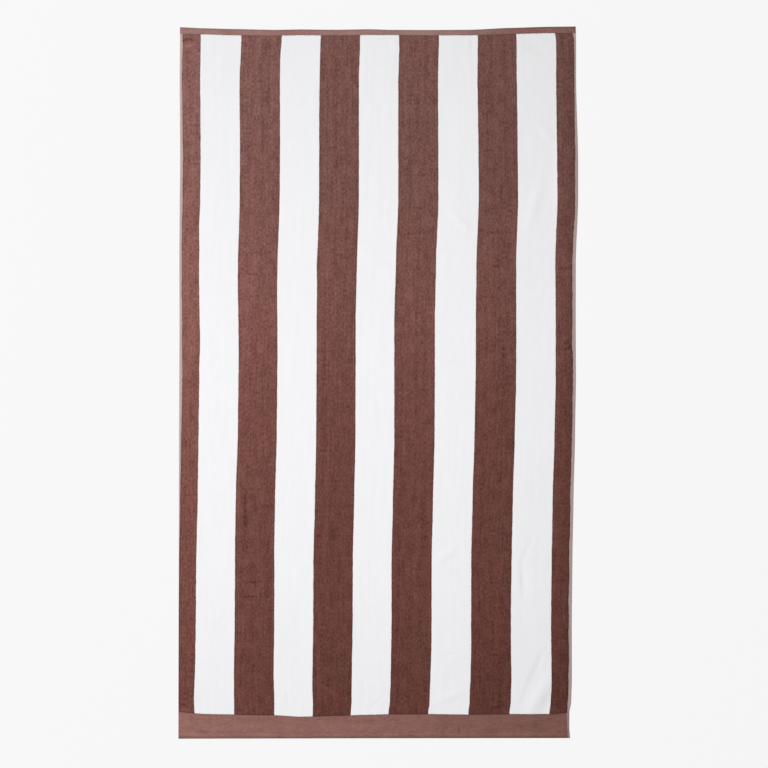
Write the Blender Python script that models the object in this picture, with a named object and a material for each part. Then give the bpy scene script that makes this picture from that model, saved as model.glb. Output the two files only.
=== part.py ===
"""A striped velour beach towel, 0.90 m by 1.60 m, spread out face up on a flat surface.

The towel is one piece of cloth. Its face is a thick cut pile in wide lengthwise stripes. The pile stops at a
flat woven border at the foot, at a flat hem at the head, and at a narrow flat hem down each side.
X runs across the towel, Y runs along it from foot to head, Z is up, and the origin is under its middle.
"""

import math
from collections import namedtuple

import bmesh
import bpy

# Thicknesses, in metres.
PILE = 0.0032
BORDER = 0.0017
END_HEM = 0.0024
SIDE_HEM = 0.0019

# Widths, in metres.
SIDE_HEM_WIDTH = 0.0065
FOOT_HEM_DEPTH = 0.018
HEAD_HEM_DEPTH = 0.0125
PILE_STEP = 0.0014

# The stripes from left to right: what each is dyed, how wide it is, and the cells that it is divided into.
Stripe = namedtuple("Stripe", "colour width cells")
STRIPES = (
    Stripe("brown", 0.0365, 2),
    Stripe("white", 0.0880, 3),
    Stripe("brown", 0.0905, 3),
    Stripe("white", 0.0875, 3),
    Stripe("brown", 0.0895, 3),
    Stripe("white", 0.0880, 3),
    Stripe("brown", 0.0905, 3),
    Stripe("white", 0.0890, 4),
    Stripe("brown", 0.0905, 3),
    Stripe("white", 0.0890, 7),
    Stripe("brown", 0.0370, 2),
)

# How the cloth leans: at each height along the towel, in millimetres, where its left edge, the inner edge of
# the first stripe, the edge of the stripe right of the middle, the inner edge of the last stripe and its
# right edge lie.
Lean = namedtuple("Lean", "along left first middle last right")
LEANS = (
    Lean(-801, -450.2, -411, 23, 385, 431.5),
    Lean(-775, -450.2, -411, 23, 385, 429.7),
    Lean(-741, -450.2, -411, 23, 385, 430.0),
    Lean(-720, -450.0, -412, 26, 388, 434.5),
    Lean(-669, -449.9, -412, 28, 390, 436.0),
    Lean(-534, -449.4, -410, 30, 389, 436.0),
    Lean(-399, -448.7, -409, 30, 390, 437.3),
    Lean(-264, -448.4, -405, 33, 392, 439.6),
    Lean(-129, -448.0, -403, 36, 396, 443.0),
    Lean(6, -447.7, -401, 36, 399, 445.0),
    Lean(141, -447.0, -400, 36, 399, 445.0),
    Lean(275, -447.4, -401, 40, 398, 445.4),
    Lean(410, -446.6, -400, 45, 403, 449.8),
    Lean(500, -445.6, -399, 45, 402, 450.2),
    Lean(680, -446.6, -400, 45, 400, 445.8),
    Lean(770, -446.2, -399, 48, 400, 446.2),
    Lean(801, -446.0, -399, 48, 400, 444.8),
)

# The foot and the head are not quite straight: at each place across, in millimetres, where the foot, the line
# between the woven border and the pile, and the head lie.
End = namedtuple("End", "across foot border head")
ENDS = (
    End(-447, -801.3, -740.0, 799.6),
    End(-390, -801.2, -745.4, 797.1),
    End(-333, -801.0, -746.0, 795.6),
    End(-232, -800.8, -747.4, 793.6),
    End(-176, -800.7, -749.8, 795.0),
    End(-97, -800.5, -747.6, 793.6),
    End(-18, -800.4, -745.5, 795.0),
    End(27, -800.3, -745.2, 793.4),
    End(116, -800.2, -744.9, 793.2),
    End(206, -800.1, -744.9, 793.8),
    End(296, -800.0, -744.8, 798.4),
    End(386, -799.9, -744.6, 800.5),
    End(447, -799.8, -741.8, 801.3),
)

# How far apart the rows of cells lie, in metres, up to each height along the towel: closer where it creases.
Span = namedtuple("Span", "top pitch")
SPANS = (
    Span(-0.590, 0.0155),
    Span(-0.345, 0.0270),
    Span(0.320, 0.0390),
    Span(0.470, 0.0165),
    Span(0.600, 0.0240),
    Span(0.780, 0.0300),
)

# The folds that the cloth lies in: the place of each crest's middle, the way the crest heads in degrees from
# +X, half its length, half its width and its height, in metres. Between them the towel lies flat.
Fold = namedtuple("Fold", "x y heading half_length half_width height")
FOLDS = (
    Fold(0.381, -0.686, 65, 0.066, 0.016, 0.0046),
    Fold(0.336, -0.644, 66, 0.080, 0.017, 0.0030),
    Fold(0.316, -0.437, 92, 0.092, 0.013, 0.0022),
    Fold(0.351, -0.437, 88, 0.078, 0.018, 0.0022),
    Fold(0.359, 0.413, 80, 0.062, 0.015, 0.0030),
    Fold(0.376, 0.553, -54, 0.036, 0.014, 0.0020),
    Fold(0.184, 0.363, -39, 0.050, 0.015, 0.0022),
    Fold(0.149, -0.378, 41, 0.040, 0.015, 0.0018),
    Fold(0.157, -0.697, 22, 0.048, 0.014, 0.0020),
    Fold(-0.005, 0.277, -30, 0.050, 0.019, 0.0016),
    Fold(-0.012, -0.712, 25, 0.038, 0.014, 0.0018),
    Fold(0.350, 0.743, -34, 0.040, 0.017, 0.0020),
    Fold(-0.422, 0.760, 22, 0.030, 0.014, 0.0020),
    Fold(-0.428, -0.708, -8, 0.032, 0.014, 0.0020),
    Fold(-0.310, -0.289, 91, 0.090, 0.014, 0.0016),
    Fold(0.424, 0.467, 90, 0.150, 0.036, 0.0036),
    Fold(-0.097, -0.579, 80, 0.130, 0.065, 0.0024),
    Fold(-0.277, 0.612, 80, 0.120, 0.055, 0.0020),
    Fold(0.274, 0.070, 96, 0.150, 0.048, 0.0022),
)

MM = 0.001


def read_between(rows, key, column, at):
    """The column's value at a place between two rows, eased so that no row shows as a corner."""
    if at <= getattr(rows[0], key):
        return getattr(rows[0], column)
    for low, high in zip(rows, rows[1:]):
        start, stop = getattr(low, key), getattr(high, key)
        if at <= stop:
            share = (at - start) / (stop - start)
            share = 0.5 * share + 0.5 * share * share * (3 - 2 * share)
            return getattr(low, column) * (1 - share) + getattr(high, column) * share
    return getattr(rows[-1], column)


def columns_across():
    """(distance from the left edge of the flat cloth, thickness, stripe colour of the cells to its right)."""
    columns = [(0.0, SIDE_HEM, "brown"), (SIDE_HEM_WIDTH - PILE_STEP, SIDE_HEM, "brown")]
    at = SIDE_HEM_WIDTH
    for stripe in STRIPES:
        for cell in range(stripe.cells):
            columns.append((at + stripe.width * cell / stripe.cells, PILE, stripe.colour))
        at += stripe.width
    columns.append((at, PILE, "brown"))
    columns.append((at + PILE_STEP, SIDE_HEM, "brown"))
    columns.append((at + SIDE_HEM_WIDTH, SIDE_HEM, "brown"))
    return columns


def rows_along():
    """(zone, share or height along the towel, thickness) for each row of points, from foot to head."""
    rows = [("foot", 0.0, END_HEM), ("foot", FOOT_HEM_DEPTH, END_HEM)]
    rows += [("foot", FOOT_HEM_DEPTH + PILE_STEP, BORDER), ("border", -PILE_STEP, BORDER)]
    rows.append(("border", 0.0, PILE))
    low = -0.744
    for span in SPANS:
        count = round((span.top - low) / span.pitch)
        for step in range(1, count + 1):
            rows.append(("pile", low + (span.top - low) * step / count, PILE))
        low = span.top
    rows.pop()
    rows += [("head", -HEAD_HEM_DEPTH - PILE_STEP, PILE), ("head", -HEAD_HEM_DEPTH, END_HEM)]
    rows.append(("head", 0.0, END_HEM))
    return rows


def height_along(zone, value, across):
    """Y of a point of a row, where the ends of the towel are as uneven as the cloth lies."""
    start = {"foot": "foot", "border": "border", "head": "head"}
    if zone in start:
        return read_between(ENDS, "across", start[zone], across / MM) * MM + value
    return value


def place_across(distance, y):
    """X of a point that lies this far from the left edge of the flat cloth."""
    total = 2 * SIDE_HEM_WIDTH + sum(stripe.width for stripe in STRIPES)
    first = SIDE_HEM_WIDTH + STRIPES[0].width
    middle = SIDE_HEM_WIDTH + sum(stripe.width for stripe in STRIPES[:6])
    last = total - SIDE_HEM_WIDTH - STRIPES[-1].width
    marks = ((0.0, "left"), (first, "first"), (middle, "middle"), (last, "last"), (total, "right"))
    for (start, low), (stop, high) in zip(marks, marks[1:]):
        if distance <= stop + 1e-9:
            share = (distance - start) / (stop - start)
            low_x = read_between(LEANS, "along", low, y / MM)
            high_x = read_between(LEANS, "along", high, y / MM)
            return (low_x * (1 - share) + high_x * share) * MM
    raise ValueError("the point lies outside the cloth")


def swell(share):
    """A soft hump, 1 at its middle and 0 from 1 on."""
    return 0.5 + 0.5 * math.cos(math.pi * min(abs(share), 1.0))


def lift(x, y):
    """How high the cloth rises from the surface at a place."""
    height = 0.0
    for fold in FOLDS:
        turn = math.radians(fold.heading)
        dx, dy = x - fold.x, y - fold.y
        along = dx * math.cos(turn) + dy * math.sin(turn)
        across = dy * math.cos(turn) - dx * math.sin(turn)
        height += fold.height * swell(along / fold.half_length) * swell(across / fold.half_width)
    return height if height > 0.00012 else 0.0


def material(name, colour, roughness):
    made = bpy.data.materials.new(name)
    made.use_nodes = True
    shader = made.node_tree.nodes["Principled BSDF"]
    shader.inputs["Base Color"].default_value = (*colour, 1.0)
    shader.inputs["Roughness"].default_value = roughness
    shader.inputs["Metallic"].default_value = 0.0
    return made


def make_towel():
    columns = columns_across()
    rows = rows_along()
    sheet = bmesh.new()
    bmesh.ops.create_grid(sheet, x_segments=len(columns) - 1, y_segments=len(rows) - 1, size=1.0)
    thickness = sheet.verts.layers.float.new("thickness")

    # The grid's points go to their places on the surface.
    for vertex in sheet.verts:
        column = round((vertex.co.x + 1) / 2 * (len(columns) - 1))
        row = round((vertex.co.y + 1) / 2 * (len(rows) - 1))
        distance, across_thickness, _ = columns[column]
        zone, value, along_thickness = rows[row]
        y = height_along(zone, value, place_across(distance, 0.0))
        x = place_across(distance, y)
        y = height_along(zone, value, x)
        vertex.co = (x, y, lift(x, y))
        vertex[thickness] = along_thickness if along_thickness < PILE else across_thickness

    # Each cell takes its stripe's colour, or the border's.
    for face in sheet.faces:
        middle = face.calc_center_median()
        face.smooth = True
        face.material_index = 2
        inside = -0.744 < middle.y < 0.785
        for (_, _, colour), low, high in zip(columns, columns, columns[1:]):
            near = place_across(low[0], middle.y) < middle.x < place_across(high[0], middle.y)
            if inside and near:
                face.material_index = 1 if colour == "white" else 0

    # The cloth's thickness goes up from the underside, so that it rests flat.
    raised = bmesh.ops.extrude_face_region(sheet, geom=sheet.faces[:])
    for vertex in raised["geom"]:
        if isinstance(vertex, bmesh.types.BMVert):
            vertex.co.z += vertex[thickness]
    bmesh.ops.recalc_face_normals(sheet, faces=sheet.faces[:])

    mesh = bpy.data.meshes.new("towel")
    sheet.to_mesh(mesh)
    sheet.free()
    mesh.set_sharp_from_angle(angle=math.radians(40))
    towel = bpy.data.objects.new("towel", mesh)
    bpy.context.scene.collection.objects.link(towel)
    mesh.materials.append(material("brown pile", (0.165, 0.066, 0.052), 0.95))
    mesh.materials.append(material("white pile", (0.86, 0.86, 0.88), 0.95))
    mesh.materials.append(material("brown flat weave", (0.235, 0.120, 0.103), 0.90))
    return towel


for old in list(bpy.data.objects):
    bpy.data.objects.remove(old, do_unlink=True)
make_towel()
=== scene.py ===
"""A striped velour beach towel spread out face up: its cloth, its pile, its hems and their sewing."""

import math
from collections import namedtuple

import bmesh
import bpy
import mathutils
import numpy as np
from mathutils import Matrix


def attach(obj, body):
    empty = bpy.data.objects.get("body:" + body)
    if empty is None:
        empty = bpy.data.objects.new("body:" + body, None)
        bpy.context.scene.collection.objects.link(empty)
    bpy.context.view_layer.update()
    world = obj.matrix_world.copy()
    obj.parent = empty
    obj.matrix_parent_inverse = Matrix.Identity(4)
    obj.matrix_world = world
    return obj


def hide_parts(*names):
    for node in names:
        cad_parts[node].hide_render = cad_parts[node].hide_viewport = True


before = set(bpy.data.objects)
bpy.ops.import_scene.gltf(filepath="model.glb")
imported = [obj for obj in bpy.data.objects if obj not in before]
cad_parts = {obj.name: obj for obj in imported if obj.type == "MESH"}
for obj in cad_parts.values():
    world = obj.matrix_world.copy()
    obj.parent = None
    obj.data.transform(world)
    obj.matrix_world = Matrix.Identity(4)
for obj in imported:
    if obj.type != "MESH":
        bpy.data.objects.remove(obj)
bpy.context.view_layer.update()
bpy.ops.object.select_all(action="DESELECT")

# The towel's cloth. It is one woven length of cotton: cut pile (velour) on its face, loops on its back, and a
# flat weave without pile at the foot, at the head and down both sides. It lies on the floor, flat but for low
# folds, and its edges are as uneven as cloth that was washed and shaken out.

# How thick the cloth is in its pile, in the border, at the turned ends and at the sides, in metres.
PILE = 0.0032
BORDER = 0.0017
END_HEM = 0.0024
SIDE_HEM = 0.0019

# How deep its flat parts are, and how long it is from foot to head. Places along it and across it are counted
# from the left end of its foot.
SIDE_HEM_WIDTH = 0.0065
FOOT_HEM_DEPTH = 0.0180
HEAD_HEM_DEPTH = 0.0125
BORDER_DEPTH = 0.0552
LENGTH = 1.6026
PILE_END = LENGTH - HEAD_HEM_DEPTH

# The foot's turned edge ends a little above its hem line, and there the cloth thins to one layer.
TURNED_EDGE = FOOT_HEM_DEPTH + 0.001
TURNED_SLOPE = 0.0022

# The radii to which the pile and the cloth's own edge are rounded, the share of its thickness that the cloth
# keeps at its very edge, and how far in from that edge its unevenness starts.
PILE_SHOULDER = 0.0026
FACE_RIM = 0.0011
BACK_RIM = 0.0009
RIM_SHARE = 0.52
EVEN_RIM = 0.006

# The stripes from left to right: the colour of the yarn, how wide each is, and how far apart the points of
# the cloth lie in it, in metres.
Stripe = namedtuple("Stripe", "colour width pitch")
STRIPES = (
    Stripe("brown", 0.0365, 0.0048),
    Stripe("white", 0.0880, 0.0060),
    Stripe("brown", 0.0905, 0.0060),
    Stripe("white", 0.0875, 0.0060),
    Stripe("brown", 0.0895, 0.0060),
    Stripe("white", 0.0880, 0.0055),
    Stripe("brown", 0.0905, 0.0060),
    Stripe("white", 0.0890, 0.0042),
    Stripe("brown", 0.0905, 0.0048),
    Stripe("white", 0.0890, 0.0030),
    Stripe("brown", 0.0370, 0.0042),
)
WIDTH = 2 * SIDE_HEM_WIDTH + sum(stripe.width for stripe in STRIPES)

# How the cloth leans: at each height along the towel, in millimetres, where its left edge, the inner edge of
# the first stripe, the edge of the stripe right of the middle, the inner edge of the last stripe and its
# right edge lie, and how wide the side hems show. The left one turns under towards the foot.
Lean = namedtuple("Lean", "along left first middle last right left_hem right_hem")
LEANS = (
    Lean(-801, -449.4, -411, 23, 385, 431.5, 0.9, 5.0),
    Lean(-775, -449.4, -411, 23, 385, 429.7, 0.9, 5.0),
    Lean(-741, -449.4, -411, 23, 385, 430.0, 0.9, 5.5),
    Lean(-720, -449.6, -412, 26, 388, 434.0, 0.9, 8.0),
    Lean(-669, -449.5, -412, 28, 390, 435.6, 0.9, 8.0),
    Lean(-534, -449.2, -410, 30, 389, 435.4, 0.9, 7.6),
    Lean(-399, -448.7, -409, 30, 390, 436.8, 1.2, 7.6),
    Lean(-264, -448.4, -405, 33, 392, 439.2, 3.0, 7.6),
    Lean(-129, -448.0, -403, 36, 396, 442.6, 4.8, 7.6),
    Lean(6, -447.5, -401, 36, 399, 444.7, 6.7, 7.4),
    Lean(141, -447.0, -400, 36, 399, 444.2, 5.8, 8.0),
    Lean(275, -447.4, -401, 40, 398, 444.4, 5.4, 8.2),
    Lean(410, -446.6, -400, 45, 403, 449.6, 6.4, 7.7),
    Lean(500, -445.6, -399, 45, 402, 449.6, 6.4, 7.3),
    Lean(680, -446.6, -400, 45, 400, 445.0, 5.2, 4.0),
    Lean(770, -446.0, -399, 48, 400, 445.0, 6.3, 5.0),
    Lean(801, -446.0, -399, 48, 398, 444.2, 6.5, 9.4),
)

# The foot and the head: at each place across, in millimetres, where the foot, the line between the woven
# border and the pile, and the head lie, and how deep the head hem shows. Their unevenness dies out within
# FOOT_REACH of the foot and HEAD_REACH of the head, in metres.
FOOT_REACH = 0.080
HEAD_REACH = 0.040
End = namedtuple("End", "across foot border head hem")
ENDS = (
    End(-447, -801.3, -740.8, 799.2, 15.0),
    End(-390, -801.2, -745.6, 796.7, 14.0),
    End(-333, -801.0, -746.5, 795.2, 14.4),
    End(-232, -800.8, -748.5, 793.2, 13.6),
    End(-176, -800.7, -751.8, 794.2, 13.4),
    End(-97, -800.5, -749.6, 793.4, 13.2),
    End(-18, -800.4, -747.2, 794.6, 13.4),
    End(27, -800.3, -746.0, 793.2, 12.2),
    End(116, -800.2, -745.7, 792.8, 12.4),
    End(206, -800.1, -746.9, 793.4, 12.8),
    End(296, -800.0, -745.6, 797.6, 14.2),
    End(386, -799.9, -745.6, 800.2, 14.8),
    End(447, -799.8, -740.8, 800.8, 15.0),
)

# Where the stripes are drawn a little to one side: the middle of each pull, how far it reaches across and
# along, and how far it moves the cloth at its middle, in metres. A pull moves nothing at the side hems and
# has its full strength from PULL_GIVE inside them.
PULL_GIVE = 0.030
Pull = namedtuple("Pull", "x y wide long drift")
PULLS = (
    Pull(-0.215, 0.800, 0.150, 0.075, 0.0032),
    Pull(0.045, 0.800, 0.070, 0.085, -0.0016),
    Pull(0.320, 0.800, 0.100, 0.075, -0.0022),
    Pull(-0.290, 0.235, 0.190, 0.170, -0.0024),
    Pull(0.255, 0.130, 0.130, 0.340, 0.0024),
    Pull(-0.290, -0.265, 0.160, 0.170, -0.0024),
    Pull(-0.150, -0.745, 0.170, 0.075, 0.0032),
    Pull(0.160, -0.700, 0.130, 0.110, -0.0028),
    Pull(0.330, -0.560, 0.100, 0.220, -0.0014),
    Pull(-0.226, -0.060, 0.070, 0.800, -0.0018),
    Pull(-0.402, 0.060, 0.060, 0.450, -0.0013),
    Pull(0.223, 0.470, 0.120, 0.330, 0.0021),
    Pull(0.220, -0.430, 0.200, 0.350, -0.0009),
    Pull(-0.412, -0.725, 0.075, 0.090, -0.0022),
    Pull(-0.270, -0.725, 0.110, 0.085, 0.0019),
    Pull(-0.308, 0.755, 0.070, 0.080, 0.0018),
    Pull(-0.131, 0.700, 0.070, 0.120, 0.0013),
    Pull(0.398, 0.800, 0.060, 0.040, -0.0022),
    Pull(0.309, 0.725, 0.075, 0.075, -0.0011),
    Pull(-0.404, 0.350, 0.060, 0.055, -0.0016),
    Pull(-0.402, 0.095, 0.060, 0.060, 0.0015),
    Pull(-0.139, 0.265, 0.070, 0.060, -0.0014),
)

# The folds that the cloth lies in, which lift it off the floor: the middle of each crest, the way the crest
# heads in degrees from +X, half its length, half its width and its height, in metres.
Fold = namedtuple("Fold", "x y heading half_length half_width height")
FOLDS = (
    Fold(0.362, -0.706, 61, 0.090, 0.026, 0.0034),
    Fold(0.352, 0.404, 79, 0.085, 0.019, 0.0015),
    Fold(0.384, 0.556, -54, 0.045, 0.018, 0.0013),
    Fold(0.184, 0.363, -39, 0.050, 0.015, 0.0018),
    Fold(0.149, -0.389, 35, 0.042, 0.014, 0.0012),
    Fold(0.155, -0.709, 20, 0.055, 0.014, 0.0013),
    Fold(-0.005, 0.277, -30, 0.050, 0.019, 0.0016),
    Fold(-0.420, 0.752, 28, 0.030, 0.012, 0.0020),
    Fold(-0.428, -0.708, -8, 0.032, 0.014, 0.0018),
    Fold(-0.309, -0.289, 90, 0.090, 0.013, 0.0017),
    Fold(0.424, 0.467, 90, 0.150, 0.036, 0.0036),
    Fold(-0.097, -0.579, 80, 0.130, 0.065, 0.0024),
    Fold(-0.277, 0.612, 80, 0.120, 0.055, 0.0020),
    Fold(0.274, 0.070, 96, 0.150, 0.048, 0.0022),
)

# How far apart the rows of points lie, in metres, up to each place along the towel: closer where it creases.
# The border's rows have places of their own.
Span = namedtuple("Span", "top pitch")
SPANS = (
    Span(0.200, 0.0029),
    Span(0.455, 0.0045),
    Span(1.120, 0.0060),
    Span(1.400, 0.0042),
    Span(1.570, 0.0055),
)
FOOT_ROWS = (0.0, 0.0003, 0.0009, 0.002, 0.004, 0.0075, 0.011, 0.0145, 0.0162, 0.0175, 0.019, 0.0205)
FOOT_ROWS += (0.025, 0.030, 0.035, 0.040, 0.045, 0.0495, 0.0528, 0.0545, 0.0552)

# The steps in from each line where the pile starts, in from the sides, and in from the head.
PILE_EDGE = (0.0005, 0.0012, 0.0021, 0.0034, 0.0052)
SIDE_STEPS = (0.0, 0.0003, 0.0010, 0.0024, 0.0040, 0.0055, SIDE_HEM_WIDTH)
HEAD_STEPS = (0.0105, 0.0085, 0.0060, 0.0040, 0.0020, 0.0009, 0.0003, 0.0)


def read_between(rows, key, column, at):
    """The column's values at places between the rows, eased so that no row shows as a corner."""
    places = np.array([getattr(row, key) for row in rows], float)
    values = np.array([getattr(row, column) for row in rows], float)
    at = np.clip(at, places[0], places[-1])
    low = np.clip(np.searchsorted(places, at, side="right") - 1, 0, len(rows) - 2)
    share = (at - places[low]) / (places[low + 1] - places[low])
    share = 0.5 * share + 0.5 * share * share * (3 - 2 * share)
    return values[low] * (1 - share) + values[low + 1] * share


def wander(x, y, size, seed):
    """Soft unevenness between -1 and 1, whose hills lie about this size apart."""
    side = 64
    cells = np.random.default_rng(seed).uniform(-1, 1, (side, side))
    x = np.asarray(x) / size + 512.3
    y = np.asarray(y) / size + 512.7
    column = np.floor(x).astype(int)
    row = np.floor(y).astype(int)
    right = x - column
    up = y - row
    right = right * right * (3 - 2 * right)
    up = up * up * (3 - 2 * up)
    here, above = row % side, (row + 1) % side
    left, beside = column % side, (column + 1) % side
    near = cells[here, left] * (1 - right) + cells[here, beside] * right
    far = cells[above, left] * (1 - right) + cells[above, beside] * right
    return near * (1 - up) + far * up


def hem_widths(y):
    """How wide the left and the right hem show at this height, where the pile's edge wanders over them."""
    left = read_between(LEANS, "along", "left_hem", y * 1000) / 1000
    right = read_between(LEANS, "along", "right_hem", y * 1000) / 1000
    left = left * (1 + 0.10 * wander(y, 0, 0.009, 3) + 0.08 * wander(y, 0, 0.031, 4))
    right = right * (1 + 0.10 * wander(y, 1, 0.009, 5) + 0.08 * wander(y, 1, 0.031, 6))
    return left, right


def lay(across, along):
    """Where a point of the flat cloth comes to lie: across and along become x and y on the floor.

    The ends' lines depend on x and the sides' lines on y, so each is read again once the other is known.
    """
    marks = [0.0, SIDE_HEM_WIDTH, SIDE_HEM_WIDTH + STRIPES[0].width]
    marks.append(SIDE_HEM_WIDTH + sum(stripe.width for stripe in STRIPES[:6]))
    marks += [WIDTH - SIDE_HEM_WIDTH - STRIPES[-1].width, WIDTH - SIDE_HEM_WIDTH, WIDTH]
    x = across - WIDTH / 2
    y = along - LENGTH / 2
    for _ in range(2):
        foot = read_between(ENDS, "across", "foot", x * 1000) / 1000
        border = read_between(ENDS, "across", "border", x * 1000) / 1000
        head = read_between(ENDS, "across", "head", x * 1000) / 1000
        hem = head - read_between(ENDS, "across", "hem", x * 1000) / 1000
        y = along - LENGTH / 2
        steps = [0.0, BORDER_DEPTH, FOOT_REACH, LENGTH - HEAD_REACH, PILE_END, LENGTH]
        ends = [foot, border, FOOT_REACH - LENGTH / 2, LENGTH / 2 - HEAD_REACH, hem, head]
        for start, stop, low, high in zip(steps, steps[1:], ends, ends[1:]):
            inside = (along >= start) & (along <= stop)
            y = np.where(inside, low + (high - low) * (along - start) / (stop - start), y)
        lines = [read_between(LEANS, "along", name, y * 1000) / 1000 for name in Lean._fields[1:6]]
        left_hem, right_hem = hem_widths(y)
        places = [lines[0], lines[0] + left_hem, lines[1], lines[2], lines[3], lines[4] - right_hem, lines[4]]
        for start, stop, low, high in zip(marks, marks[1:], places, places[1:]):
            inside = (across >= start - 1e-9) & (across <= stop + 1e-9)
            x = np.where(inside, low + (high - low) * (across - start) / (stop - start), x)
        give = np.clip((np.minimum(across, WIDTH - across) - SIDE_HEM_WIDTH) / PULL_GIVE, 0, 1)
        for pull in PULLS:
            sideways = 0.5 + 0.5 * np.cos(math.pi * np.clip(np.abs(x - pull.x) / pull.wide, 0, 1))
            lengthways = 0.5 + 0.5 * np.cos(math.pi * np.clip(np.abs(y - pull.y) / pull.long, 0, 1))
            x = x + pull.drift * sideways * lengthways * give
    return x, y


def humps(folds, x, y):
    """The height that these folds add at a place."""
    height = np.zeros(np.broadcast(x, y).shape)
    for fold in folds:
        turn = math.radians(fold.heading)
        dx = x - fold.x
        dy = y - fold.y
        along = np.clip(np.abs(dx * math.cos(turn) + dy * math.sin(turn)) / fold.half_length, 0, 1)
        across = np.clip(np.abs(dy * math.cos(turn) - dx * math.sin(turn)) / fold.half_width, 0, 1)
        swell = (0.5 + 0.5 * np.cos(math.pi * along)) * (0.5 + 0.5 * np.cos(math.pi * across))
        height = height + fold.height * swell
    return height


def rounded(distance, radius):
    """A quarter round: 0 at an edge, 1 from this far inside it on."""
    inside = np.clip(distance / radius, 0, 1)
    return np.sqrt(np.clip(1 - (1 - inside) ** 2, 0, 1))


def thickness(across, along):
    """How thick the cloth is, from its underside to the tips of its pile."""
    turned = np.clip((TURNED_EDGE - along) / TURNED_SLOPE, 0, 1)
    flat = BORDER + (END_HEM - BORDER) * turned * turned * (3 - 2 * turned)
    flat = np.where(along > PILE_END - 1e-6, END_HEM, flat)
    middle = (along > BORDER_DEPTH - 1e-6) & (along < PILE_END + 1e-6)
    flat = np.where(middle, SIDE_HEM, flat)
    from_side = np.minimum(across, WIDTH - across)
    from_end = np.minimum(along, LENGTH - along)
    inside = np.minimum(from_side - SIDE_HEM_WIDTH, PILE_END - along)
    inside = np.minimum(inside, along - BORDER_DEPTH)
    raised = flat + (PILE - flat) * rounded(inside, PILE_SHOULDER)
    edge = rounded(np.minimum(from_side, from_end), FACE_RIM)
    return raised * (RIM_SHARE + (1 - RIM_SHARE) * edge)


def face_height(across, along, x, y):
    """Z of the cloth's face, with the small rises and hollows that its pile has everywhere."""
    marks = 0.00012 * wander(x, y, 0.013, 1) + 0.00020 * wander(x, y, 0.041, 2)
    from_edge = np.minimum(np.minimum(across, WIDTH - across), np.minimum(along, LENGTH - along))
    return humps(FOLDS, x, y) + thickness(across, along) + marks * rounded(from_edge, EVEN_RIM)


def even_steps(low, high, pitch):
    """Places from low to high, about this far apart, without low itself."""
    return list(np.linspace(low, high, max(2, round((high - low) / pitch) + 1)))[1:]


# The lines of points across and along: closer at the hems and at the pile's edge, where the cloth turns.
across_stations = list(SIDE_STEPS)
start = SIDE_HEM_WIDTH
for number, stripe in enumerate(STRIPES):
    stop = start + stripe.width
    low = start
    high = stop
    if number == 0:
        across_stations += [start + step for step in PILE_EDGE]
        low = across_stations[-1]
    if number == len(STRIPES) - 1:
        high = stop - PILE_EDGE[-1]
    across_stations += even_steps(low, high, stripe.pitch)
    start = stop
across_stations += [start - step for step in PILE_EDGE[-2::-1]]
across_stations += [WIDTH - step for step in SIDE_STEPS[::-1]]
along_stations = list(FOOT_ROWS)
along_stations += [BORDER_DEPTH + step for step in PILE_EDGE]
for span in SPANS:
    along_stations += even_steps(along_stations[-1], span.top, span.pitch)
along_stations += even_steps(along_stations[-1], PILE_END - PILE_EDGE[-1], 0.0045)
along_stations += [PILE_END - step for step in PILE_EDGE[-2::-1]] + [PILE_END]
along_stations += [LENGTH - step for step in HEAD_STEPS]
across_stations = np.array(across_stations)
along_stations = np.array(along_stations)

# The face starts as a flat grid, and each of its points goes to its place.
columns = len(across_stations)
rows = len(along_stations)
bpy.ops.mesh.primitive_grid_add(
    x_subdivisions=columns - 1, y_subdivisions=rows - 1, size=1.0, calc_uvs=False
)
cloth = bpy.context.object
cloth.name = cloth.data.name = "towel_cloth"
across_grid = np.tile(across_stations, rows)
along_grid = np.repeat(along_stations, columns)
x, y = lay(across_grid, along_grid)
z = face_height(across_grid, along_grid, x, y)
cloth.data.vertices.foreach_set("co", np.column_stack([x, y, z]).ravel())

# The back has every third point of the face's grid, more of them at the hems, and a groove where each turned
# edge ends. At the sides that is one step in from the hem.
hem_columns = (len(SIDE_STEPS), columns - 1 - len(SIDE_STEPS))
back_columns = sorted({*range(0, columns, 3), 1, 6, 7, columns - 8, columns - 7, columns - 2, columns - 1})
back_rows = sorted({*range(0, rows, 3), *range(1, 12), rows - 9, rows - 8, rows - 7, rows - 2, rows - 1})
mesh = bmesh.new()
mesh.from_mesh(cloth.data)
mesh.verts.ensure_lookup_table()
weave = mesh.loops.layers.uv.new("weave")
for face in mesh.faces:
    for loop in face.loops:
        index = loop.vert.index
        loop[weave].uv = (across_grid[index], along_grid[index])
back_across, back_along = np.meshgrid(across_stations[back_columns], along_stations[back_rows])
x, y = lay(back_across, back_along)
from_side = np.minimum(back_across, WIDTH - back_across)
from_end = np.minimum(back_along, LENGTH - back_along)
z = humps(FOLDS, x, y) + 0.0006 * (1 - rounded(np.minimum(from_side, from_end), BACK_RIM))
turned = (np.abs(back_along - TURNED_EDGE) < 0.0004) | (np.abs(back_along - PILE_END) < 0.0004)
side_turned = np.isin(back_columns, hem_columns)[None, :]
side_turned = side_turned & (back_along > BORDER_DEPTH) & (back_along < PILE_END)
z = z + 0.0008 * (turned | side_turned)
back = {}
places = {}
for low, row in enumerate(back_rows):
    for left, column in enumerate(back_columns):
        point = mesh.verts.new((x[low, left], y[low, left], z[low, left]))
        back[row, column] = point
        places[point] = (across_stations[column], along_stations[row])
for low, high in zip(back_rows, back_rows[1:]):
    for left, right in zip(back_columns, back_columns[1:]):
        under = mesh.faces.new((back[low, left], back[high, left], back[high, right], back[low, right]))
        for loop in under.loops:
            loop[weave].uv = places[loop.vert]

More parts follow.
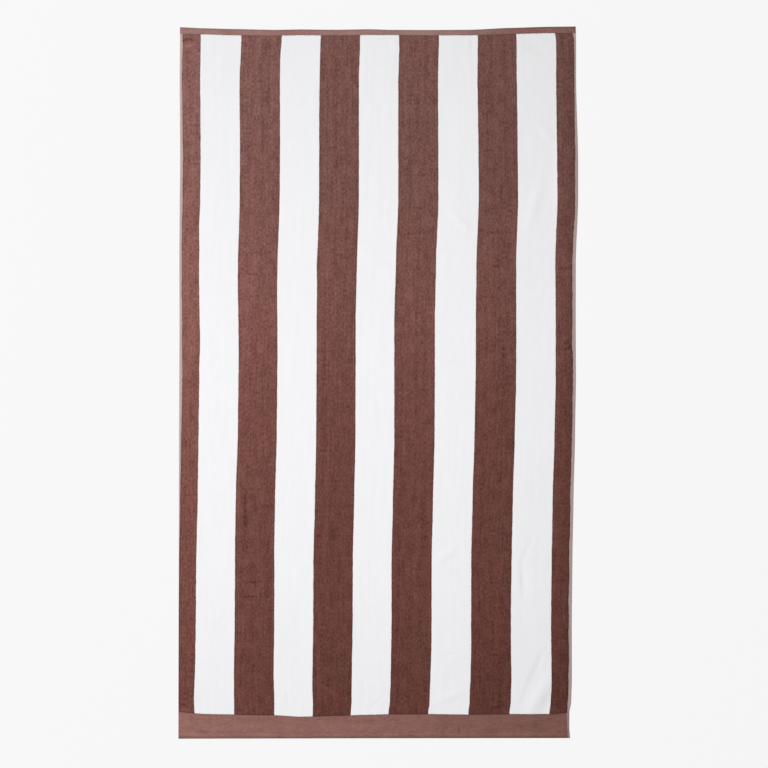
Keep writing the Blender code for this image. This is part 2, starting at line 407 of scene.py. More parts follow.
# The edge joins the face to the back all round.
mesh.verts.ensure_lookup_table()
rim = [(0, column) for column in back_columns]
rim += [(row, columns - 1) for row in back_rows[1:]]
rim += [(rows - 1, column) for column in back_columns[-2::-1]]
rim += [(row, 0) for row in back_rows[-2::-1]]
for (row, column), (next_row, next_column) in zip(rim, rim[1:]):
    step_row = int(np.sign(next_row - row))
    step_column = int(np.sign(next_column - column))
    count = max(abs(next_row - row), abs(next_column - column))
    upper = []
    for step in range(count + 1):
        upper.append(mesh.verts[(row + step * step_row) * columns + column + step * step_column])
    wall = mesh.faces.new([back[row, column], back[next_row, next_column]] + upper[::-1])
    for loop in wall.loops:
        if loop.vert in places:
            loop[weave].uv = places[loop.vert]
        else:
            index = loop.vert.index
            loop[weave].uv = (across_grid[index], along_grid[index])
for face in mesh.faces:
    face.smooth = True
bmesh.ops.recalc_face_normals(mesh, faces=mesh.faces[:])
mesh.to_mesh(cloth.data)
mesh.free()


# What the cloth is made of. The yarn is dyed, so the stripes run through face and back. Cut pile is matt and
# mottled where the nap lies over; painted sheen and light falloff make the brown paler to the left and deeper
# towards the foot, and painted shade darkens its creases and edges. The border and the end hems are flat
# weave with fine ribs across, and the side hems show the pale ground yarn.


class Signal:
    """What comes out of a socket of a finish, and takes part in sums as a number does."""

    def __init__(self, finish, socket):
        self.finish = finish
        self.socket = socket

    def __add__(self, other):
        return self.finish.math("ADD", self, other)

    def __radd__(self, other):
        return self.finish.math("ADD", other, self)

    def __sub__(self, other):
        return self.finish.math("SUBTRACT", self, other)

    def __rsub__(self, other):
        return self.finish.math("SUBTRACT", other, self)

    def __mul__(self, other):
        return self.finish.math("MULTIPLY", self, other)

    def __rmul__(self, other):
        return self.finish.math("MULTIPLY", other, self)

    def __truediv__(self, other):
        return self.finish.math("DIVIDE", self, other)

    def step(self, low, high):
        """0 below low and 1 above high, with a soft rise between."""
        sockets = {"Value": self, "From Min": low, "From Max": high}
        return self.finish.add("ShaderNodeMapRange", {"interpolation_type": "SMOOTHSTEP"}, sockets)


class Finish:
    """A material on the cloth's own across and along distances, in metres."""

    def __init__(self, name, roughness, sheen):
        self.material = bpy.data.materials.new(name)
        self.material.use_nodes = True
        self.tree = self.material.node_tree
        self.shader = self.tree.nodes["Principled BSDF"]
        self.shader.inputs["Roughness"].default_value = roughness
        self.shader.inputs["Specular IOR Level"].default_value = 0.25
        self.shader.inputs["Sheen Weight"].default_value = sheen
        self.shader.inputs["Sheen Roughness"].default_value = 0.6
        place = self.add("ShaderNodeUVMap", {"uv_map": "weave"}, {})
        self.across = self.add("ShaderNodeSeparateXYZ", {}, {"Vector": place}, "X")
        self.along = self.add("ShaderNodeSeparateXYZ", {}, {"Vector": place}, "Y")
        self.lying = self.add("ShaderNodeTexCoord", {}, {}, "Object")

    def add(self, kind, settings, sockets, output=0):
        """A node of this kind: its settings or a ramp's stops first, then its sockets' values and links."""
        node = self.tree.nodes.new(kind)
        for key, value in settings.items():
            if key != "stops":
                setattr(node, key, value)
        for number, (position, colour) in enumerate(settings.get("stops", ())):
            stops = node.color_ramp.elements
            stop = stops[number] if number < 2 else stops.new(position)
            stop.position = position
            stop.color = colour
        for key, value in sockets.items():
            if isinstance(value, Signal):
                self.tree.links.new(value.socket, node.inputs[key])
            else:
                node.inputs[key].default_value = value
        return Signal(self, node.outputs[output])

    def math(self, operation, first, second):
        return self.add("ShaderNodeMath", {"operation": operation}, {0: first, 1: second})

    def mix(self, first, second, factor, blend="MIX"):
        """Two colours mixed, sockets 6 and 7 of the node being its colours and 2 its colour output."""
        settings = {"data_type": "RGBA", "blend_type": blend}
        return self.add("ShaderNodeMix", settings, {0: factor, 6: first, 7: second}, 2)

    def mottle(self, wide, long, detail, seed):
        """Noise about 0.5, with patches this wide across and this long along the towel, in metres."""
        sockets = {"X": self.across / wide, "Y": self.along / long, "Z": seed}
        place = self.add("ShaderNodeCombineXYZ", {}, sockets)
        sockets = {"Vector": place, "Scale": 1.0, "Detail": detail, "Roughness": 0.6}
        return self.add("ShaderNodeTexNoise", {}, sockets)

    def tone(self, place, steps):
        """A tone that changes along the towel or across it, through steps of a place in metres and a tone."""
        reach = steps[-1][0]
        stops = [(at / reach, (value, value, value, 1.0)) for at, value in steps]
        stops = [stops[0], stops[-1]] + stops[1:-1]
        return self.add("ShaderNodeValToRGB", {"stops": stops}, {"Fac": place / reach})

    def colour_by(self, tone, deep, pale, deep_tone, pale_tone):
        """From the deep colour to the pale one as the tone rises."""
        share = (tone - deep_tone) / (pale_tone - deep_tone)
        return self.mix((*deep, 1.0), (*pale, 1.0), share)

    def pressed(self, creases):
        """The height that creases add, in metres, each one an oval about its middle on the floor.

        The sum so far goes along as the third part of the next oval's place, where it is too small to count.
        It makes one chain of the ovals, because Cycles runs out of room for many that wait side by side.
        """
        x = self.add("ShaderNodeSeparateXYZ", {}, {"Vector": self.lying}, "X")
        y = self.add("ShaderNodeSeparateXYZ", {}, {"Vector": self.lying}, "Y")
        total = 0.0
        for crease in creases:
            place = self.add("ShaderNodeCombineXYZ", {}, {"X": x, "Y": y, "Z": total})
            sockets = {"Vector": place, "Location": (crease.x, crease.y, 0.0)}
            sockets["Rotation"] = (0.0, 0.0, math.radians(crease.heading))
            sockets["Scale"] = (crease.half_length, crease.half_width, 1.0)
            oval = self.add("ShaderNodeMapping", {"vector_type": "TEXTURE"}, sockets)
            away = self.add("ShaderNodeVectorMath", {"operation": "LENGTH"}, {0: oval}, "Value")
            sockets = {"Value": away, "To Min": crease.height, "To Max": 0.0}
            total = total + self.add("ShaderNodeMapRange", {"interpolation_type": "SMOOTHSTEP"}, sockets)
        return total

    def wear(self, colour, height, strength):
        """Gives the shader its colour, and its relief in metres."""
        self.tree.links.new(colour.socket, self.shader.inputs["Base Color"])
        sockets = {"Height": height, "Distance": 1.0, "Strength": strength}
        bump = self.add("ShaderNodeBump", {}, sockets, "Normal")
        self.tree.links.new(bump.socket, self.shader.inputs["Normal"])


def dyed(finish, blur, stray):
    """1 where the yarn is white and 0 where it is brown, with fibres that stray over each line."""
    if stray > 0:
        fibres = (finish.mottle(0.0022, 0.0035, 2.0, 4.0) - 0.5) * stray
        waver = (finish.mottle(0.030, 0.024, 1.0, 7.0) - 0.5) * 0.0014
        place = finish.across + fibres + waver
    else:
        place = finish.across
    white = 0.0
    line = SIDE_HEM_WIDTH
    for before, after in zip(STRIPES, STRIPES[1:]):
        line += before.width
        rise = place.step(line - blur, line + blur)
        white = white + rise if after.colour == "white" else white - rise
    return white


# The creases that only mark the pile: troughs where it is pressed down, and low soft ridges. Besides their
# relief,
# they paint the pile: painted shade in the troughs and painted highlight on the ridges.
CREASES = (
    Fold(0.349, -0.655, 65, 0.105, 0.012, -0.0018),
    Fold(0.333, -0.380, 68, 0.050, 0.010, -0.0012),
    Fold(0.325, -0.450, 94, 0.065, 0.011, -0.0016),
    Fold(0.347, -0.450, 90, 0.065, 0.015, 0.0009),
    Fold(0.352, 0.748, -27, 0.045, 0.014, -0.0012),
    Fold(-0.031, -0.692, 100, 0.030, 0.008, -0.0010),
    Fold(-0.005, -0.720, 40, 0.034, 0.009, -0.0011),
    Fold(-0.424, 0.771, 4, 0.024, 0.006, -0.0018),
    Fold(-0.424, 0.757, 14, 0.024, 0.006, 0.0016),
    Fold(-0.298, -0.289, 91, 0.095, 0.008, -0.0013),
    Fold(-0.312, -0.265, 91, 0.090, 0.005, 0.0008),
    Fold(0.263, 0.262, -7, 0.042, 0.0045, -0.0009),
    Fold(0.239, 0.193, -11, 0.020, 0.0040, -0.0009),
    Fold(0.265, -0.206, 4, 0.036, 0.0042, -0.0009),
    Fold(0.268, 0.338, 3, 0.038, 0.0048, -0.0008),
    Fold(0.264, 0.622, 40, 0.045, 0.0100, -0.0007),
    Fold(0.238, 0.736, 0, 0.012, 0.0065, -0.0012),
    Fold(0.287, 0.740, 0, 0.014, 0.0070, -0.0011),
    Fold(0.247, 0.756, 80, 0.010, 0.0070, 0.0008),
    Fold(0.247, 0.716, 80, 0.012, 0.0080, 0.0010),
    Fold(0.278, 0.050, 91, 0.130, 0.0060, -0.0006),
    Fold(0.260, -0.012, 0, 0.018, 0.0120, -0.0006),
    Fold(0.277, -0.046, 90, 0.014, 0.0080, -0.0007),
    Fold(0.231, 0.015, 90, 0.018, 0.0060, 0.0010),
    Fold(0.090, 0.108, -3, 0.026, 0.0042, -0.0008),
    Fold(0.085, 0.140, 0, 0.034, 0.0050, 0.0005),
    Fold(0.069, 0.334, 5, 0.030, 0.0045, -0.0009),
    Fold(0.117, 0.343, 25, 0.018, 0.0050, -0.0009),
    Fold(0.100, 0.543, -28, 0.036, 0.0050, -0.0007),
    Fold(-0.425, 0.345, 3, 0.017, 0.0050, -0.0009),
    Fold(-0.426, 0.741, 12, 0.018, 0.0060, -0.0010),
    Fold(-0.430, 0.620, 0, 0.014, 0.0060, -0.0007),
    Fold(-0.273, 0.291, 0, 0.042, 0.0060, -0.0008),
    Fold(-0.282, 0.244, -4, 0.032, 0.0045, -0.0009),
    Fold(-0.279, 0.698, 20, 0.018, 0.0120, 0.0008),
    Fold(-0.288, 0.532, 4, 0.015, 0.0045, -0.0007),
    Fold(-0.282, -0.449, 2, 0.044, 0.0050, -0.0014),
    Fold(-0.284, -0.482, 1, 0.042, 0.0042, -0.0014),
    Fold(-0.270, -0.662, -22, 0.032, 0.0055, 0.0007),
    Fold(-0.436, -0.7255, -25, 0.020, 0.0045, -0.0019),
    Fold(-0.433, -0.7360, -9, 0.018, 0.0050, 0.0013),
    Fold(0.267, -0.730, 18, 0.028, 0.0060, -0.0011),
    Fold(-0.383, -0.145, 20, 0.020, 0.0080, 0.0004),
    Fold(-0.358, -0.522, 62, 0.042, 0.0130, 0.0006),
    Fold(-0.349, -0.568, 0, 0.026, 0.0150, -0.0005),
    Fold(-0.205, -0.703, 95, 0.032, 0.0060, -0.0008),
    Fold(0.018, 0.201, 0, 0.007, 0.0050, -0.0008),
    Fold(0.013, 0.111, 5, 0.010, 0.0050, -0.0008),
    Fold(0.148, -0.096, 80, 0.014, 0.0060, -0.0005),
    Fold(0.157, -0.669, 90, 0.012, 0.0080, -0.0007),
    Fold(0.163, -0.612, 12, 0.036, 0.0055, -0.0010),
    Fold(0.209, 0.763, 100, 0.018, 0.0080, -0.0012),
    Fold(0.015, 0.770, 3, 0.024, 0.0060, -0.0009),
    Fold(0.420, 0.100, 20, 0.016, 0.0090, 0.0011),
    Fold(0.427, 0.077, 38, 0.014, 0.0070, -0.0013),
    Fold(0.424, 0.332, 2, 0.016, 0.0050, -0.0009),
    Fold(0.424, 0.258, 4, 0.015, 0.0050, -0.0008),
    Fold(-0.248, 0.752, 80, 0.026, 0.0120, -0.0009),
    Fold(-0.136, -0.630, 89, 0.055, 0.0065, 0.0012),
    Fold(-0.110, -0.692, -37, 0.036, 0.0062, 0.0018),
)

# The tones of the pile, all painted light: painted sheen and light falloff that make the brown paler across
# and along the towel, painted shade at the pile's own edge, painted light falloff on the white, and how much
# redder the brown grows towards the foot, where the painted sheen greys it less.
BROWN_ACROSS = ((0.0, 0.975), (0.025, 0.955), (0.18, 0.805), (0.36, 0.70), (0.54, 0.72), (0.72, 0.64))
BROWN_ACROSS += ((0.846, 0.625), (0.866, 0.60), (0.884, 0.53))
BROWN_ALONG = ((0.0, 0.59), (0.15, 0.62), (0.33, 0.70), (0.47, 0.725), (0.60, 0.78), (0.74, 0.83))
BROWN_ALONG += ((0.87, 0.925), (1.0, 1.01), (1.27, 0.99), (1.6, 1.015))
BROWN_EDGE_SHADE = ((0.0, 0.55), (0.30, 0.62), (0.60, 0.84), (1.6, 0.86))
WHITE_ACROSS = ((0.0, 1.0), (0.11, 1.0), (0.29, 1.012), (0.47, 1.018), (0.65, 1.012))
WHITE_ACROSS += ((0.80, 0.995), (0.90, 0.99))
WHITE_ALONG = ((0.0, 0.95), (0.10, 0.96), (0.33, 0.98), (0.67, 0.99), (0.87, 0.985))
WHITE_ALONG += ((1.14, 0.96), (1.41, 0.925), (1.6, 0.895))
WARMTH = ((0.0, (1.115, 0.925, 0.84, 1.0)), (0.45, (1.085, 0.945, 0.88, 1.0)), (0.85, (1.0, 1.0, 1.0, 1.0)))
DARKEST_BROWN = (0.039, 0.0065, 0.002)
PALEST_BROWN = (0.304, 0.136, 0.118)
WHITE = (0.895, 0.895, 0.91)

# Painted shade and highlight in the creases: how much paler each metre of height in a crease paints the brown
# and the white, so troughs are painted darker and ridges paler.
BROWN_SHADE_PER_METRE = 210.0
WHITE_SHADE_PER_METRE = 16.0


def brown_mottle_and_painted_light(finish, troughs):
    """How pale the brown pile shows: its mottle, with painted sheen and light falloff that make it paler to
    the left and above and deeper to the foot, and painted shade and highlight in its creases.
    """
    across = finish.tone(finish.across, BROWN_ACROSS)
    along = finish.tone(finish.along, BROWN_ALONG)
    fine = (finish.mottle(0.0038, 0.0062, 2.0, 1.0) - 0.5) * 1.65
    streak = (finish.mottle(0.0050, 0.070, 2.0, 2.0) - 0.5) * 0.65
    row = (finish.mottle(0.0110, 0.650, 2.0, 10.0) - 0.5) * 0.52
    broad = (finish.mottle(0.020, 0.028, 3.0, 3.0) - 0.5) * 0.85
    return across * along * (1.0 + fine + streak + row + broad + troughs * BROWN_SHADE_PER_METRE)


velour = Finish("velour", 0.95, 0.12)
troughs = velour.pressed(CREASES)
# Painted shade: the pile is darker where it slopes down to the hems and the border, deepest low on the towel.
from_side = velour.math("MINIMUM", velour.across, WIDTH - velour.across) - SIDE_HEM_WIDTH
from_end = velour.math("MINIMUM", velour.along - BORDER_DEPTH, PILE_END - velour.along)
clear_of_edge_shade = velour.math("MINIMUM", from_side, from_end).step(-0.0008, 0.0028)
# Painted shade: the brown is darker within a few millimetres of each white stripe, whose pile stands higher.
stripe_edge_shade = 1.0 - dyed(velour, 0.0030, 0.0) * 0.36
edge = velour.tone(velour.along, BROWN_EDGE_SHADE)
brown_tone = brown_mottle_and_painted_light(velour, troughs) * (edge + (1.0 - edge) * clear_of_edge_shade) * stripe_edge_shade
brown = velour.colour_by(brown_tone, DARKEST_BROWN, PALEST_BROWN, 0.15, 1.3)
# Painted sheen: the brown is greyer towards the head and redder towards the foot.
warmth = velour.add("ShaderNodeValToRGB", {"stops": WARMTH}, {"Fac": velour.along / LENGTH})
brown = velour.mix(brown, warmth, 1.0, "MULTIPLY")
fluff = (velour.mottle(0.004, 0.008, 2.0, 5.0) - 0.5) * 0.032
fluff = fluff + (velour.mottle(0.009, 0.160, 3.0, 6.0) - 0.5) * 0.075
fluff = fluff + (velour.mottle(0.014, 0.030, 3.0, 16.0) - 0.5) * 0.035
# The white's mottle, with painted light on it: falloff across and along the towel, painted shade and
# highlight in the creases, and painted shade at the pile's edge.
white_mottle_and_painted_light = (1.0 + fluff) * velour.tone(velour.along, WHITE_ALONG) * velour.tone(velour.across, WHITE_ACROSS)
white_mottle_and_painted_light = white_mottle_and_painted_light * (1.0 + troughs * WHITE_SHADE_PER_METRE) * (0.97 + clear_of_edge_shade * 0.03)
grey = velour.add("ShaderNodeCombineColor", {}, {0: white_mottle_and_painted_light, 1: white_mottle_and_painted_light, 2: white_mottle_and_painted_light})
white = velour.mix((*WHITE, 1.0), grey, 1.0, "MULTIPLY")
pile_colour = velour.mix(brown, white, dyed(velour, 0.0008, 0.0013))
tips = velour.mottle(0.0011, 0.0014, 2.0, 8.0) * 0.00045 + velour.mottle(0.006, 0.009, 2.0, 9.0) * 0.0004
velour.wear(pile_colour, tips + troughs + dyed(velour, 0.0060, 0.0) * 0.0004, 0.5)

# The flat weave: the small pinches in the border, its tone across, which is painted light falloff, paler to
# the left, how much of the pale ground yarn shows at the head, the painted shade and highlight of the turned
# hems, from the foot up and from the head down, darker at their folded edges and under the pile's edge and
# paler along the foot hem's fold, and its darkest and palest yarn, and how much paler each metre of height in
# a pinch paints it, as painted shade in its hollows and painted highlight on its rises.
BORDER_CREASES = (
    Fold(0.182, -0.780, 90, 0.020, 0.0040, -0.0007),
    Fold(0.252, -0.786, 4, 0.030, 0.0060, -0.0003),
    Fold(0.415, -0.770, 84, 0.030, 0.0060, 0.0004),
    Fold(-0.385, -0.786, -6, 0.035, 0.0060, -0.0003),
)
WEAVE_ACROSS = ((0.0, 0.95), (0.45, 0.88), (0.56, 0.825), (0.68, 0.755), (0.90, 0.68))
HEAD_GROUND = ((0.0, 0.09), (0.27, 0.08), (0.54, 0.15), (0.66, 0.12), (0.76, 0.035), (0.90, 0.035))
FOOT_HEM_LIGHT_AND_SHADE = ((0.0, 0.76), (0.003, 0.80), (0.0058, 0.96), (0.0085, 1.07), (0.012, 1.05), (0.0150, 0.97))
FOOT_HEM_LIGHT_AND_SHADE += ((0.018, 1.0), (0.052, 1.0), (0.0540, 0.86), (0.0552, 0.76), (0.060, 1.0))
HEAD_HEM_SHADE = ((0.0, 0.82), (0.0020, 0.84), (0.0040, 0.99), (0.0105, 1.01), (0.0125, 0.87), (0.060, 1.0))
DARKEST_WEAVE = (0.066, 0.021, 0.013)
PALEST_WEAVE = (0.372, 0.174, 0.146)
PALE_GROUND = (0.62, 0.56, 0.57)
WEAVE_SHADE_PER_METRE = 250.0
RIB_LENGTH = 0.006
RIB_PITCH = 0.0011

flat_weave = Finish("flat_weave", 0.85, 0.08)
pinched = flat_weave.pressed(BORDER_CREASES)
# Painted light falloff: the flat weave is paler to the left and darker to the right.
weave_tone = flat_weave.tone(flat_weave.across, WEAVE_ACROSS)
# Painted shade at the hems' folded edges and under the pile's edge, and a painted highlight along the foot
# hem's fold.
weave_tone = weave_tone * flat_weave.tone(flat_weave.along, FOOT_HEM_LIGHT_AND_SHADE)
weave_tone = weave_tone * flat_weave.tone(LENGTH - flat_weave.along, HEAD_HEM_SHADE)
slubs = (flat_weave.mottle(0.010, 0.0035, 3.0, 11.0) - 0.5) * 0.70
slubs = slubs + (flat_weave.mottle(0.035, 0.018, 2.0, 15.0) - 0.5) * 0.52
# Painted shade in the pinches' hollows and painted highlight on their rises.
weave_tone = weave_tone * (1.0 + slubs + pinched * WEAVE_SHADE_PER_METRE)
rib_place = {"X": flat_weave.across / RIB_LENGTH, "Y": flat_weave.along / RIB_PITCH}
rib_place = flat_weave.add("ShaderNodeCombineXYZ", {}, rib_place)
rib_place = {"Vector": rib_place, "Scale": 0.314}
ribs = flat_weave.add("ShaderNodeTexWave", {"bands_direction": "Y"}, rib_place, "Fac")
weave_colour = flat_weave.colour_by(weave_tone, DARKEST_WEAVE, PALEST_WEAVE, 0.30, 1.2)
at_head = flat_weave.along.step(PILE_END - 0.002, PILE_END + 0.001)
ground = flat_weave.tone(flat_weave.across, HEAD_GROUND) * at_head
weave_colour = flat_weave.mix(weave_colour, (*PALE_GROUND, 1.0), ground)
flat_weave.wear(weave_colour, ribs * 0.00022 + pinched, 0.6)

# The side hems: mostly pale ground yarn, browner beside the border, with their ribs broken up by the wash,
# and painted light falloff that makes the right hem darker than the left.
DEEPEST_SIDE = (0.20, 0.145, 0.138)
PALEST_SIDE = (0.49, 0.375, 0.36)

side_weave = Finish("side_hem", 0.85, 0.08)
side_tone = side_weave.tone(side_weave.across, ((0.0, 1.0), (0.90, 0.83)))
side_tone = side_tone * (0.66 + side_weave.along.step(0.045, 0.075) * 0.34)
side_tone = side_tone * (1.0 + (side_weave.mottle(0.003, 0.006, 3.0, 12.0) - 0.5) * 0.3)
side_colour = side_weave.colour_by(side_tone, DEEPEST_SIDE, PALEST_SIDE, 0.4, 1.0)
side_ribs = side_weave.mottle(0.0030, 0.0008, 1.0, 13.0)
side_weave.wear(side_colour, side_ribs * 0.0003, 0.6)

# The back: loops left uncut, one to each cell of the weave, in the same dyed yarns.
DEEPEST_LOOP = (0.085, 0.034, 0.027)
PALEST_LOOP = (0.21, 0.092, 0.078)
WHITE_LOOP = (0.83, 0.83, 0.845)
LOOP_WIDTH = 0.0021
LOOP_LENGTH = 0.0027

loops = Finish("loop_back", 0.97, 0.15)
loop_brown = loops.colour_by(loops.mottle(0.003, 0.004, 3.0, 14.0), DEEPEST_LOOP, PALEST_LOOP, 0.3, 0.7)
loop_colour = loops.mix(loop_brown, (*WHITE_LOOP, 1.0), dyed(loops, 0.0018, 0.003))
cells = {"X": loops.across / LOOP_WIDTH, "Y": loops.along / LOOP_LENGTH}
cells = {"Vector": loops.add("ShaderNodeCombineXYZ", {}, cells), "Scale": 1.0}
loop_tips = loops.add("ShaderNodeTexVoronoi", {}, cells, "Distance")
loops.wear(loop_colour, loop_tips * -0.0007, 0.8)

# Each face has the finish of its place on the flat cloth: velour, flat weave, side hem or, below, loops.
for finish in (velour, flat_weave, side_weave, loops):
    cloth.data.materials.append(finish.material)
uv = np.empty(len(cloth.data.loops) * 2, np.float32)
cloth.data.uv_layers["weave"].data.foreach_get("uv", uv)
starts = np.empty(len(cloth.data.polygons), np.int32)
cloth.data.polygons.foreach_get("loop_start", starts)
totals = np.empty(len(cloth.data.polygons), np.int32)
cloth.data.polygons.foreach_get("loop_total", totals)
middles = np.add.reduceat(uv.reshape(-1, 2), starts, axis=0) / totals[:, None]
facing = np.empty(len(cloth.data.polygons) * 3, np.float32)
cloth.data.polygons.foreach_get("normal", facing)
on_pile = (middles[:, 1] > BORDER_DEPTH) & (middles[:, 1] < PILE_END)
on_side = (middles[:, 0] < SIDE_HEM_WIDTH) | (middles[:, 0] > WIDTH - SIDE_HEM_WIDTH)
by_border = (middles[:, 0] > WIDTH - SIDE_HEM_WIDTH) & (middles[:, 1] < BORDER_DEPTH)
below = facing.reshape(-1, 3)[:, 2] < -0.5
chosen = np.where(on_pile, np.where(on_side, 2, 0), np.where(by_border, 2, 1))
chosen = np.where(on_pile & ~on_side & below, 3, chosen)
cloth.data.polygons.foreach_set("material_index", chosen.astype(np.int32))
cloth.data.update()
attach(cloth, "root")
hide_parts("towel")

# The edge of the pile. Where the pile stops at the hems and the border, its last tufts have nothing to hold
# them up and lean out over the flat weave, each a small bundle of yarn in the colour of its stripe.

# Half a tuft's length, width and height, how far apart the tufts stand, how far inside the pile's edge and
# how deep in the pile they are rooted, and how much they lean down.
TUFT = (0.0017, 0.0011, 0.0010)
TUFT_PITCH = 0.0022
TUFT_INSET = 0.0006
TUFT_SINK = 0.0004
TUFT_LEAN = 0.25


def surface(across, along):
    """Points on the cloth's face, with the directions across it, along it and up from it."""
    step = 0.0006
    points = []
    for shift, rise in ((0.0, 0.0), (step, 0.0), (-step, 0.0), (0.0, step), (0.0, -step)):
        u = np.clip(across + shift, 0.0, WIDTH)
        v = np.clip(along + rise, 0.0, LENGTH)
        x, y = lay(u, v)
        points.append(np.column_stack([x, y, face_height(u, v, x, y)]))
    rightward = points[1] - points[2]
    rightward /= np.linalg.norm(rightward, axis=1)[:, None]
    headward = points[3] - points[4]
    upward = np.cross(rightward, headward)
    upward /= np.linalg.norm(upward, axis=1)[:, None]
    return points[0], rightward, np.cross(upward, rightward), upward


def scatter(name, shape, places, forward, sideways, upward, sizes, marks):
    """One mesh of many copies of a small shape, each turned, sized and marked with its place on the cloth."""
    corners = np.array([vert.co for vert in shape.data.vertices])
    faces = [tuple(face.vertices) for face in shape.data.polygons]
    turned = corners[None, :, 0, None] * sizes[:, None, 0, None] * forward[:, None, :]
    turned = turned + corners[None, :, 1, None] * sizes[:, None, 1, None] * sideways[:, None, :]
    turned = turned + corners[None, :, 2, None] * sizes[:, None, 2, None] * upward[:, None, :]
    points = (turned + places[:, None, :]).reshape(-1, 3)
    all_faces = []
    for copy in range(len(places)):
        first = copy * len(corners)
        all_faces += [[corner + first for corner in face] for face in faces]
    joined = bpy.data.meshes.new(name)
    joined.from_pydata(points.tolist(), [], all_faces)
    layer = joined.uv_layers.new(name="weave")
    loops_each = sum(len(face) for face in faces)
    layer.data.foreach_set("uv", np.repeat(marks, loops_each, axis=0).astype(np.float32).ravel())
    joined.polygons.foreach_set("use_smooth", np.ones(len(all_faces), bool))
    piece = bpy.data.objects.new(name, joined)
    bpy.context.collection.objects.link(piece)
    bpy.data.objects.remove(shape)
    return piece


def along_line(start, stop, pitch, source):
    """Places along a line, about this far apart and none quite even."""
    count = round((stop - start) / pitch)
    even = start + (np.arange(count) + 0.5) * (stop - start) / count
    return even + source.uniform(-0.25, 0.25, count) * pitch


source = np.random.default_rng(21)
side_places = along_line(BORDER_DEPTH, PILE_END, TUFT_PITCH, source)
end_places = along_line(SIDE_HEM_WIDTH, WIDTH - SIDE_HEM_WIDTH, TUFT_PITCH, source)
lines = []
for u, v, out in (
    (SIDE_HEM_WIDTH + TUFT_INSET, side_places, (-1.0, 0.0)),
    (WIDTH - SIDE_HEM_WIDTH - TUFT_INSET, side_places, (1.0, 0.0)),
    (end_places, PILE_END - TUFT_INSET, (0.0, 1.0)),
    (end_places, BORDER_DEPTH + TUFT_INSET, (0.0, -1.0)),
):
    u, v = np.broadcast_arrays(u, v)
    lines.append(np.column_stack([u, v, np.full(len(u), out[0]), np.full(len(u), out[1])]))
lines = np.concatenate(lines)
lines[:, :2] += source.uniform(-0.0003, 0.0003, (len(lines), 2))
places, rightward, headward, upward = surface(lines[:, 0], lines[:, 1])
sway = source.uniform(-0.35, 0.35, len(lines))[:, None]
out = rightward * lines[:, 2, None] + headward * lines[:, 3, None]
beside = np.cross(upward, out)
forward = out * np.cos(sway) + beside * np.sin(sway) - upward * TUFT_LEAN
forward /= np.linalg.norm(forward, axis=1)[:, None]
sideways = np.cross(upward, forward)
sideways /= np.linalg.norm(sideways, axis=1)[:, None]
bpy.ops.mesh.primitive_uv_sphere_add(segments=6, ring_count=4, radius=1.0)
sizes = np.array(TUFT) * source.uniform(0.75, 1.15, (len(lines), 3))
places = places - upward * TUFT_SINK
tuft = bpy.context.object
tufts_up = np.cross(forward, sideways)
tufts = scatter("pile_edge_tufts", tuft, places, forward, sideways, tufts_up, sizes, lines[:, :2])
tufts.data.materials.append(velour.material)
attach(tufts, "root")

# The sewing. Each hem is held down by one row of lockstitch, about three millimetres a stitch: brown thread
# at the head and the foot, and thread in the pale ground yarn's own colour at the sides.

# Half a stitch's length, width and height, how far apart the stitches lie, and how far in from the head, the
# foot and the sides their rows run. A side hem that shows less than LEAST_HEM shows no sewing.
STITCH = (0.0012, 0.00032, 0.00026)
STITCH_PITCH = 0.0031
HEAD_SEAM = 0.0098
FOOT_SEAM = 0.0155
SIDE_SEAM = 0.0043
LEAST_HEM = 0.003

thread_brown = Finish("brown_thread", 0.7, 0.1)
thread_tone = thread_brown.mottle(0.003, 0.003, 1.0, 21.0)
thread_colour = thread_brown.colour_by(thread_tone, (0.17, 0.080, 0.066), (0.31, 0.165, 0.142), 0.3, 0.7)
thread_twist = thread_brown.mottle(0.0004, 0.0004, 1.0, 22.0)
thread_brown.wear(thread_colour, thread_twist * 0.0001, 0.4)
thread_pale = Finish("pale_thread", 0.7, 0.1)
thread_tone = thread_pale.mottle(0.003, 0.003, 1.0, 23.0)
thread_colour = thread_pale.colour_by(thread_tone, (0.36, 0.27, 0.26), (0.52, 0.42, 0.41), 0.3, 0.7)
thread_twist = thread_pale.mottle(0.0004, 0.0004, 1.0, 24.0)
thread_pale.wear(thread_colour, thread_twist * 0.0001, 0.4)

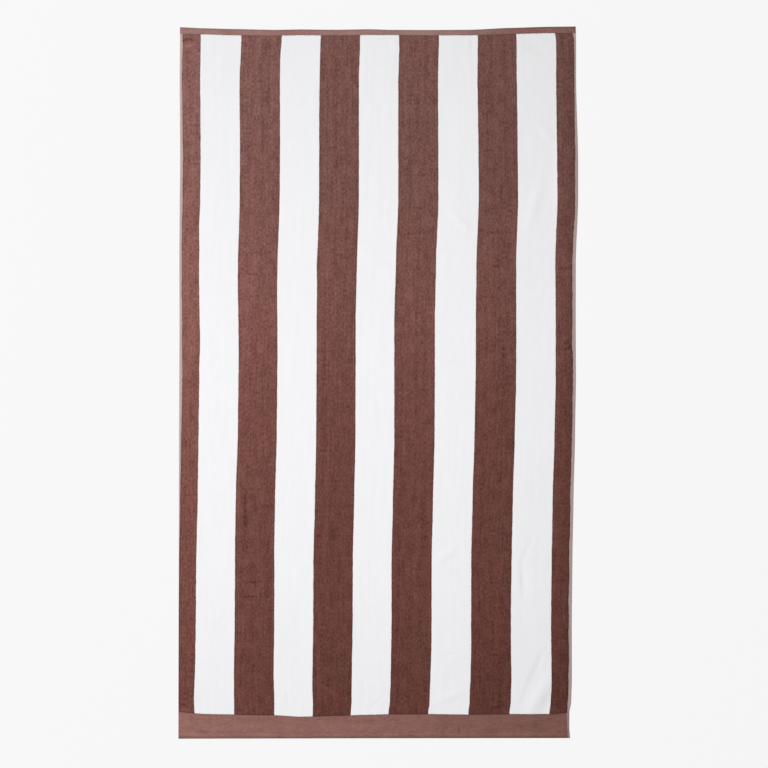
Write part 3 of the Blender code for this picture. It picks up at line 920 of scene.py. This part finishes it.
across_all = along_line(0.004, WIDTH - 0.004, STITCH_PITCH, source)
along_all = along_line(0.020, LENGTH - 0.004, STITCH_PITCH, source)
for name, u, v, turn, thread in (
    ("head_hem_stitches", across_all, LENGTH - HEAD_SEAM, 0.0, thread_brown),
    ("foot_hem_stitches", across_all, FOOT_SEAM, 0.0, thread_brown),
    ("left_hem_stitches", SIDE_SEAM, along_all, math.pi / 2, thread_pale),
    ("right_hem_stitches", WIDTH - SIDE_SEAM, along_all, math.pi / 2, thread_pale),
):
    u, v = np.broadcast_arrays(u, v)
    # The left hem is turned under towards the foot, and its sewing goes with it.
    if name == "left_hem_stitches":
        shown = hem_widths(v - LENGTH / 2)[0] > LEAST_HEM
        u = u[shown]
        v = v[shown]
    places, rightward, headward, upward = surface(u, v)
    turn = turn + source.uniform(-0.10, 0.10, len(u))[:, None]
    forward = rightward * np.cos(turn) + headward * np.sin(turn)
    bpy.ops.mesh.primitive_uv_sphere_add(segments=6, ring_count=4, radius=1.0)
    stitch = bpy.context.object
    sizes = np.array(STITCH) * source.uniform(0.9, 1.1, (len(u), 3))
    sideways = np.cross(upward, forward)
    row = scatter(name, stitch, places, forward, sideways, upward, sizes, np.column_stack([u, v]))
    row.data.materials.append(thread.material)
    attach(row, "root")

# The studio: a pale floor under the towel, one wide soft light high on the left, and a camera straight above.
# The floor gives off some light of its own, as a lit table does, so it stays as even as in the photograph.

FLOOR_GLOW = 0.83
LAMP_PLACE = mathutils.Vector((-3.0, 0.8, 5.0))
LAMP_SIZE = 3.0
CAMERA_PLACE = (0.0130, -0.0034, 4.080)

bpy.ops.mesh.primitive_plane_add(size=40.0, location=(0.0, 0.0, -0.0004))
floor = bpy.context.object
floor.name = "floor"
paper = bpy.data.materials.new("paper")
paper.use_nodes = True
paper_shader = paper.node_tree.nodes["Principled BSDF"]
paper_shader.inputs["Base Color"].default_value = (0.10, 0.10, 0.10, 1.0)
paper_shader.inputs["Roughness"].default_value = 1.0
paper_shader.inputs["Specular IOR Level"].default_value = 0.0
paper_shader.inputs["Emission Color"].default_value = (1.0, 1.0, 1.0, 1.0)
paper_shader.inputs["Emission Strength"].default_value = FLOOR_GLOW
floor.data.materials.append(paper)

bpy.ops.object.light_add(type="AREA", location=LAMP_PLACE)
window = bpy.context.object
window.data.shape = "RECTANGLE"
window.data.size = LAMP_SIZE
window.data.size_y = LAMP_SIZE
window.data.energy = 255.0
window.rotation_euler = (-LAMP_PLACE).to_track_quat("-Z", "Y").to_euler()
world = bpy.context.scene.world or bpy.data.worlds.new("studio")
bpy.context.scene.world = world
world.use_nodes = True
world.node_tree.nodes["Background"].inputs["Color"].default_value = (1.0, 1.0, 1.0, 1.0)
world.node_tree.nodes["Background"].inputs["Strength"].default_value = 0.42

bpy.ops.object.camera_add(location=CAMERA_PLACE, rotation=(0.0, 0.0, 0.0))
camera = bpy.context.object
camera.data.lens = 85.0
camera.data.sensor_width = 36.0
camera.data.clip_end = 30.0
bpy.context.scene.camera = camera
bpy.context.scene.view_settings.view_transform = "Standard"
